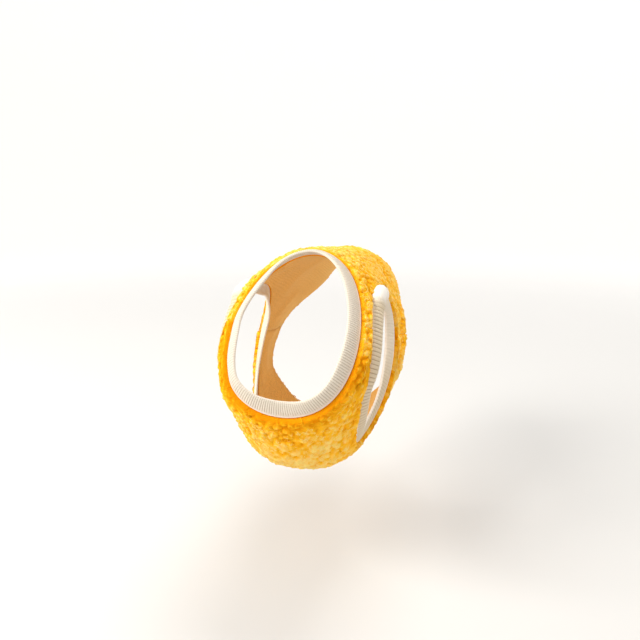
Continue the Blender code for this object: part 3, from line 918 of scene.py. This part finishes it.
# Painted highlight on the yarn where its ribs flatten out
RIB_PAINTED_HIGHLIGHT = (0.93, 0.88, 0.81)
# A band's colours on the ribs, and painted shade in the grooves
NECK_COLOURS = ((0.79, 0.71, 0.60), (0.46, 0.36, 0.24))
# The arm bands are a darker, tan copy of the same cream knit: painted shade
ARM_PAINTED_SHADE_COLOURS = ((0.72, 0.60, 0.43), (0.42, 0.30, 0.17))


def fleece_material(name, scatter):
    """Yellow pile: painted shade deep between the clumps, painted highlight pale at their tips."""
    nodes = Nodes(name)
    fibre = nodes.noise(FIBRES, 2.0, 0.5, 1.2)
    patch = nodes.noise(60.0, 2.0)
    painted_shading_and_tone = nodes.vary(nodes.value("painted_shading_and_tone"), fibre, 0.5, 0.22)
    painted_shading_and_tone = nodes.vary(painted_shading_and_tone, patch, 0.5, 0.5)
    # The painted shade and light lower or raise the tone
    painted_shading_and_tone = nodes.math("SUBTRACT", painted_shading_and_tone, nodes.math("MULTIPLY", nodes.value("shade"), PAINTED_SHADE_TONE))
    deep = nodes.mix(nodes.spread(painted_shading_and_tone, *PAINTED_SHADE_TO_BODY), FLEECE_PAINTED_SHADE, FLEECE_BODY)
    colour = nodes.mix(nodes.spread(painted_shading_and_tone, *BODY_TO_PAINTED_HIGHLIGHT), deep, FLEECE_PAINTED_HIGHLIGHT)
    nodes.shader.inputs["Subsurface Weight"].default_value = scatter
    nodes.shader.inputs["Subsurface Radius"].default_value = (1.0, 0.45, 0.12)
    nodes.shader.inputs["Subsurface Scale"].default_value = 0.0013
    return nodes.finish(colour, nodes.bump(fibre, 0.0002, 0.5), 0.95)


def backing_material():
    """The plain knitted back of the fleece, inside the garment."""
    nodes = Nodes("fleece_backing")
    where = nodes.add("ShaderNodeTexCoord").outputs["Object"]
    wales = nodes.add("ShaderNodeTexWave", {"bands_direction": "X"}, Vector=where, Scale=260.0,
                      Distortion=1.2, Detail=2.0).outputs["Fac"]
    speck = nodes.noise(FIBRES, 3.0, 0.6)
    colour = nodes.mix(nodes.spread(speck, 0.3, 0.75), FLEECE_BACK,
                       tuple(0.8 * part for part in FLEECE_BACK))
    normal = nodes.bump(speck, 0.00025, 0.7, nodes.bump(wales, 0.0002, 0.6))
    return nodes.finish(colour, normal, 0.9, 0.15, (1.0, 0.9, 0.7))


def rib_material(name, colours):
    """Cream rib knit: V-shaped stitches up each rib, and painted shade in the grooves."""
    nodes = Nodes(name)
    crest_colour, painted_groove_shade = colours
    crest = nodes.value("crest")
    phase = nodes.math("FRACT", nodes.value("rib_phase"))
    lean = nodes.math("ABSOLUTE", nodes.math("SUBTRACT", phase, 0.5))
    course = nodes.math("SUBTRACT", nodes.math("MULTIPLY", nodes.value("across"), COURSES),
                        nodes.math("MULTIPLY", lean, STITCH_LEAN))
    stitch = nodes.math("MULTIPLY", nodes.math("PINGPONG", course, 0.5), 2.0)
    fibre = nodes.noise(RIB_FIBRES, 3.0, 0.6, 0.8)
    patch = nodes.noise(90.0, 2.0)
    # Painted shade falls from the crests into the grooves
    shade = nodes.vary(nodes.spread(crest, 0.05, 0.75), stitch, 0.6, 0.16)
    shade = nodes.vary(shade, fibre, 0.5, 0.25)
    shade = nodes.vary(shade, patch, 0.5, 0.12)
    colour = nodes.mix(nodes.spread(shade, 0.0, 1.0), painted_groove_shade, crest_colour)
    # Painted highlight where the ribs flatten out
    colour = nodes.mix(nodes.value("plain"), colour, RIB_PAINTED_HIGHLIGHT)
    normal = nodes.bump(stitch, 0.00022, 0.8)
    normal = nodes.bump(fibre, 0.00012, 0.7, normal)
    return nodes.finish(colour, normal, 0.88, 0.2, (1.0, 0.97, 0.92))


# ------------------------------------------------------------------ camera, light and floor
CAMERA_AT = Vector((0.102, -0.404, 0.0477))
CAMERA_TURN = math.radians(14.4)
CAMERA_PITCH = math.radians(12.7)
CAMERA_LENS = 33.75
FLOOR_Z = -0.207
FLOOR_COLOUR = (0.66, 0.65, 0.635)
FLOOR_GLOW_NEAR = 0.02
FLOOR_GLOW_FAR = 0.48
GLOW_FROM = 0.35            # distances from the middle between which the glow grows
GLOW_TO = 1.9
WORLD_LIGHT = 0.55


def camera():
    data = bpy.data.cameras.new("camera")
    data.lens = CAMERA_LENS
    data.sensor_width = 36.0
    data.clip_start = 0.01
    eye = bpy.data.objects.new("camera", data)
    look = Vector((-math.sin(CAMERA_TURN) * math.cos(CAMERA_PITCH),
                   math.cos(CAMERA_TURN) * math.cos(CAMERA_PITCH), -math.sin(CAMERA_PITCH)))
    right = Vector((math.cos(CAMERA_TURN), math.sin(CAMERA_TURN), 0))
    up = right.cross(look)
    eye.matrix_world = Matrix.Translation(CAMERA_AT) @ Matrix(
        (right, up, -look)).transposed().to_4x4()
    bpy.context.scene.collection.objects.link(eye)
    bpy.context.scene.camera = eye


def floor():
    """A round seamless sweep: level floor that curves up into a wall on all sides."""
    flat, bend, height, steps, sides = 2.2, 1.2, 2.4, 12, 96
    profile = [(0.02, 0.0), (0.3, 0.0), (0.7, 0.0), (1.2, 0.0), (flat, 0.0)]
    for step in range(1, steps + 1):
        turn = math.pi / 2 * step / steps
        profile.append((flat + bend * math.sin(turn), bend * (1 - math.cos(turn))))
    profile.append((flat + bend, height))
    around = np.linspace(0, 2 * math.pi, sides, endpoint=False)
    points = [(r * math.cos(a), r * math.sin(a), FLOOR_Z + z) for r, z in profile for a in around]
    faces = [tuple(range(sides))]
    for ring in range(len(profile) - 1):
        for side in range(sides):
            beside = (side + 1) % sides
            faces.append((ring * sides + side, (ring + 1) * sides + side,
                          (ring + 1) * sides + beside, ring * sides + beside))
    mesh = bpy.data.meshes.new("floor")
    mesh.from_pydata(points, [], faces)
    mesh.shade_smooth()
    nodes = Nodes("pale_floor")
    tint = nodes.mix(nodes.noise(3.0, 2.0), FLOOR_COLOUR, tuple(0.985 * c for c in FLOOR_COLOUR))
    nodes.shader.inputs["Emission Color"].default_value = (1.0, 0.985, 0.965, 1)
    where = nodes.add("ShaderNodeTexCoord").outputs["Object"]
    away = nodes.add("ShaderNodeVectorMath", {"operation": "LENGTH"}, i0=where).outputs["Value"]
    glow = nodes.add("ShaderNodeMapRange", {"interpolation_type": "SMOOTHSTEP"}, Value=away,
                     From_Min=GLOW_FROM, From_Max=GLOW_TO,
                     To_Min=FLOOR_GLOW_NEAR, To_Max=FLOOR_GLOW_FAR)
    nodes.tree.links.new(glow.outputs[0], nodes.shader.inputs["Emission Strength"])
    mesh.materials.append(nodes.finish(tint, None, 0.8))
    sweep = bpy.data.objects.new("floor", mesh)
    bpy.context.scene.collection.objects.link(sweep)


def area_light(name, place, aim, size, watts, colour):
    data = bpy.data.lights.new(name, "AREA")
    data.shape = "DISK"
    data.size = size
    data.energy = watts
    data.color = colour
    lamp = bpy.data.objects.new(name, data)
    lamp.location = place
    lamp.rotation_mode = "QUATERNION"
    lamp.rotation_quaternion = (Vector(aim) - Vector(place)).to_track_quat("-Z", "Y")
    bpy.context.scene.collection.objects.link(lamp)


def lights():
    aim = (0.0, 0.0, -0.06)
    area_light("key", (-0.85, -0.60, 0.70), aim, 0.60, 15.0, (1.0, 0.985, 0.95))
    area_light("top", (0.10, 0.45, 1.10), aim, 0.7, 8.5, (1.0, 0.99, 0.97))
    world = bpy.data.worlds.new("soft_white")
    world.use_nodes = True
    background = world.node_tree.nodes["Background"]
    background.inputs["Color"].default_value = (1.0, 0.995, 0.985, 1)
    background.inputs["Strength"].default_value = WORLD_LIGHT
    bpy.context.scene.world = world
    bpy.context.scene.view_settings.view_transform = "Standard"


# ------------------------------------------------------------------ putting it together
def main():
    camera()
    floor()
    lights()
    fleece, curl = fleece_material("boa_fleece", 0.6), fleece_material("boa_locks", 0.0)
    backing = backing_material()
    neck_rib = rib_material("neck_rib_knit", NECK_COLOURS)
    # A darker, tan copy of the rib knit for the arm bands: painted shade
    arm_rib = rib_material("arm_rib_knit_painted_shade", ARM_PAINTED_SHADE_COLOURS)
    for panel, flat in ((BACK, BACK_FLAT), (CHEST, CHEST_FLAT)):
        sheet = fleece_sheet(panel, fleece, backing)
        piles = [locks(pile, sheet, curl) for pile in PILES if pile.panel is panel]
    bands = [neck_band(neck_rib),
             arm_band("arm_rib_left", "arm_band_left", 1, 6, arm_rib),
             arm_band("arm_rib_right", "arm_band_right", -1, 7, arm_rib)]


main()
